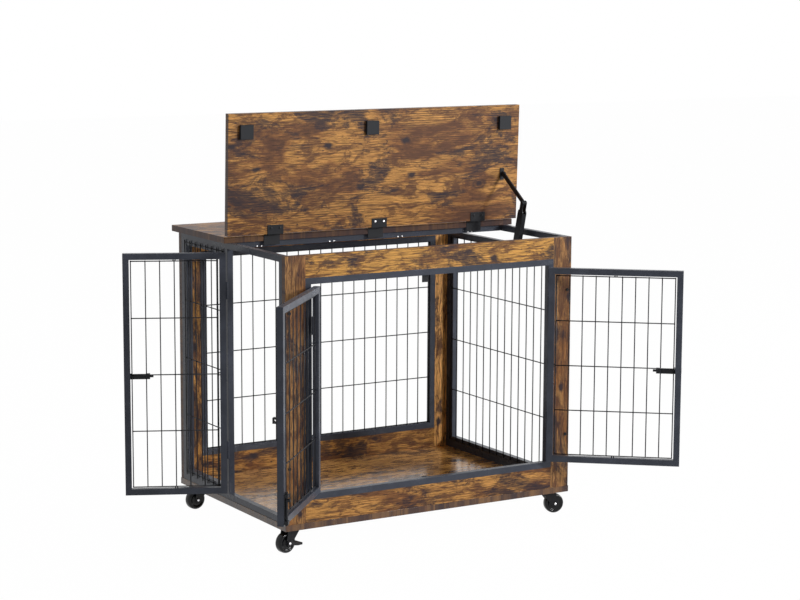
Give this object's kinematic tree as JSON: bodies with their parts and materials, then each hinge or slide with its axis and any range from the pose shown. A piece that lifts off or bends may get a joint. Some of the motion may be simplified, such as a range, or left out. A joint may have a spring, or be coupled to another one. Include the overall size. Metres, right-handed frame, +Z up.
{
  "type": "dog crate end table",
  "caption": "Wheeled dog crate end table of wood-grain boards and grey steel tube with wire panels, open double front doors, an open side door and a raised half top",
  "frame": {"origin": "on the floor, under the centre of the crate's footprint", "axes": "+Z up, -Y towards the front doors, +X to the right as seen from the front"},
  "size_m": [1.2223, 0.8422, 1.0157],
  "materials": {
    "walnut_laminate": "satin",
    "dark_board": "satin",
    "grey_steel": "satin",
    "black_wire": "satin",
    "zinc_fittings": "satin",
    "black_rubber": "matte",
    "black_plastic": "matte"
  },
  "bodies": {
    "root": {"base_board": "dark_board", "fixed_top": "dark_board", "lid_hinge_fixed_leaves": "grey_steel", "lid_hinge_pins": "zinc_fittings", "stay_base_bracket": "grey_steel", "frame_bolts": "black_plastic", "caster_plates": "black_plastic", "front_left_post": "walnut_laminate", "front_right_post": "walnut_laminate", "front_top_board": "walnut_laminate", "front_bottom_board": "walnut_laminate", "rear_left_post": "walnut_laminate", "rear_right_post": "walnut_laminate", "rear_top_board": "walnut_laminate", "rear_bottom_board": "walnut_laminate", "front_opening_frame": "grey_steel", "rear_opening_frame": "grey_steel", "left_side_frame": "grey_steel", "right_side_frame": "grey_steel", "cross_rail": "grey_steel", "left_panel_frame": "grey_steel", "right_panel_frame": "grey_steel", "front_hinge_barrels": "grey_steel", "side_hinge_barrels": "grey_steel", "side_latch_keeper": "grey_steel", "drop_bolt_keeper": "grey_steel", "door_stop_bracket": "grey_steel", "rear_panel_mesh": "black_wire", "left_panel_mesh": "black_wire", "right_panel_mesh": "black_wire"},
    "lid": {"lid_panel": "walnut_laminate", "lid_pads": "black_plastic", "lid_hinge_leaves": "grey_steel", "stay_lid_bracket": "grey_steel"},
    "stay_lower": {"stay_lower_arm": "grey_steel"},
    "stay_upper": {"stay_upper_arm": "grey_steel"},
    "left_door": {"left_door_frame": "grey_steel", "left_door_mesh": "black_wire", "left_door_keeper": "grey_steel", "left_bolt_guides": "grey_steel"},
    "left_bolt": {"left_drop_bolt": "grey_steel"},
    "right_door": {"right_door_frame": "grey_steel", "right_door_mesh": "black_wire", "right_latch_housing": "grey_steel"},
    "right_bolt": {"right_latch_bolt": "grey_steel"},
    "side_door": {"side_door_frame": "grey_steel", "side_door_mesh": "black_wire", "side_latch_housing": "grey_steel"},
    "side_bolt": {"side_latch_bolt": "grey_steel"},
    "front_left_caster": {"front_left_fork": "black_plastic"},
    "front_left_roll": {"front_left_wheel": "black_rubber"},
    "front_left_brake": {"front_left_pedal": "black_plastic"},
    "front_right_caster": {"front_right_fork": "black_plastic"},
    "front_right_roll": {"front_right_wheel": "black_rubber"},
    "rear_left_caster": {"rear_left_fork": "black_plastic"},
    "rear_left_roll": {"rear_left_wheel": "black_rubber"},
    "rear_right_caster": {"rear_right_fork": "black_plastic"},
    "rear_right_roll": {"rear_right_wheel": "black_rubber"},
    "rear_right_brake": {"rear_right_pedal": "black_plastic"}
  },
  "joints": [
    {"name": "lid_hinge", "type": "hinge", "parent": "root", "child": "lid", "pos_m": [0, 0.001, 0.7225], "axis": [1, 0, 0], "range_deg": [0, 88]},
    {"name": "stay_foot", "type": "hinge", "parent": "root", "child": "stay_lower", "pos_m": [0.365, -0.0915, 0.657], "axis": [1, 0, 0], "range_deg": [0, 88]},
    {"name": "stay_head", "type": "hinge", "parent": "lid", "child": "stay_upper", "pos_m": [0.365, -0.02932, 0.84001], "axis": [1, 0, 0], "range_deg": [-88, 0]},
    {"name": "left_door_hinge", "type": "hinge", "parent": "root", "child": "left_door", "pos_m": [-0.331, -0.2865, 0.3915], "axis": [0, 0, 1], "range_deg": [-42, 133]},
    {"name": "right_door_hinge", "type": "hinge", "parent": "root", "child": "right_door", "pos_m": [0.331, -0.2865, 0.3915], "axis": [0, 0, -1], "range_deg": [-35, 140]},
    {"name": "side_door_hinge", "type": "hinge", "parent": "root", "child": "side_door", "pos_m": [-0.404, 0.0095, 0.3895], "axis": [0, 0, 1], "range_deg": [-50, 115]},
    {"name": "left_drop_bolt_slide", "type": "slide", "parent": "left_door", "child": "left_bolt", "axis": [0, 0, -1], "range_m": [0, 0.014]},
    {"name": "right_latch_slide", "type": "slide", "parent": "right_door", "child": "right_bolt", "axis": [0.766, -0.6428, 0], "range_m": [0, 0.014]},
    {"name": "side_latch_slide", "type": "slide", "parent": "side_door", "child": "side_bolt", "axis": [-0.9063, 0.4226, 0], "range_m": [0, 0.021]},
    {"name": "front_left_swivel", "type": "hinge", "parent": "root", "child": "front_left_caster", "pos_m": [-0.368, -0.2425, 0.056], "axis": [0, 0, 1], "continuous": true},
    {"name": "front_left_axle", "type": "hinge", "parent": "front_left_caster", "child": "front_left_roll", "pos_m": [-0.38255, -0.24613, 0.025], "axis": [0.2419, -0.9703, 0], "continuous": true},
    {"name": "front_left_brake_pivot", "type": "hinge", "parent": "front_left_caster", "child": "front_left_brake", "pos_m": [-0.38255, -0.24613, 0.025], "axis": [-0.2419, 0.9703, 0], "range_deg": [0, 12]},
    {"name": "front_right_swivel", "type": "hinge", "parent": "root", "child": "front_right_caster", "pos_m": [0.368, -0.2425, 0.056], "axis": [0, 0, 1], "continuous": true},
    {"name": "front_right_axle", "type": "hinge", "parent": "front_right_caster", "child": "front_right_roll", "pos_m": [0.38262, -0.24587, 0.025], "axis": [0.225, 0.9744, 0], "continuous": true},
    {"name": "rear_left_swivel", "type": "hinge", "parent": "root", "child": "rear_left_caster", "pos_m": [-0.368, 0.2425, 0.056], "axis": [0, 0, 1], "continuous": true},
    {"name": "rear_left_axle", "type": "hinge", "parent": "rear_left_caster", "child": "rear_left_roll", "pos_m": [-0.38282, 0.24015, 0.025], "axis": [0.1564, -0.9877, 0], "continuous": true},
    {"name": "rear_right_swivel", "type": "hinge", "parent": "root", "child": "rear_right_caster", "pos_m": [0.368, 0.2425, 0.056], "axis": [0, 0, 1], "continuous": true},
    {"name": "rear_right_axle", "type": "hinge", "parent": "rear_right_caster", "child": "rear_right_roll", "pos_m": [0.35391, 0.23737, 0.025], "axis": [0.342, -0.9397, 0], "continuous": true},
    {"name": "rear_right_brake_pivot", "type": "hinge", "parent": "rear_right_caster", "child": "rear_right_brake", "pos_m": [0.35391, 0.23737, 0.025], "axis": [-0.342, 0.9397, 0], "range_deg": [0, 12]}
  ],
  "couplings": [
    {"joint": "stay_foot", "follows": "lid_hinge", "ratio": 1},
    {"joint": "stay_head", "follows": "lid_hinge", "ratio": -1}
  ]
}
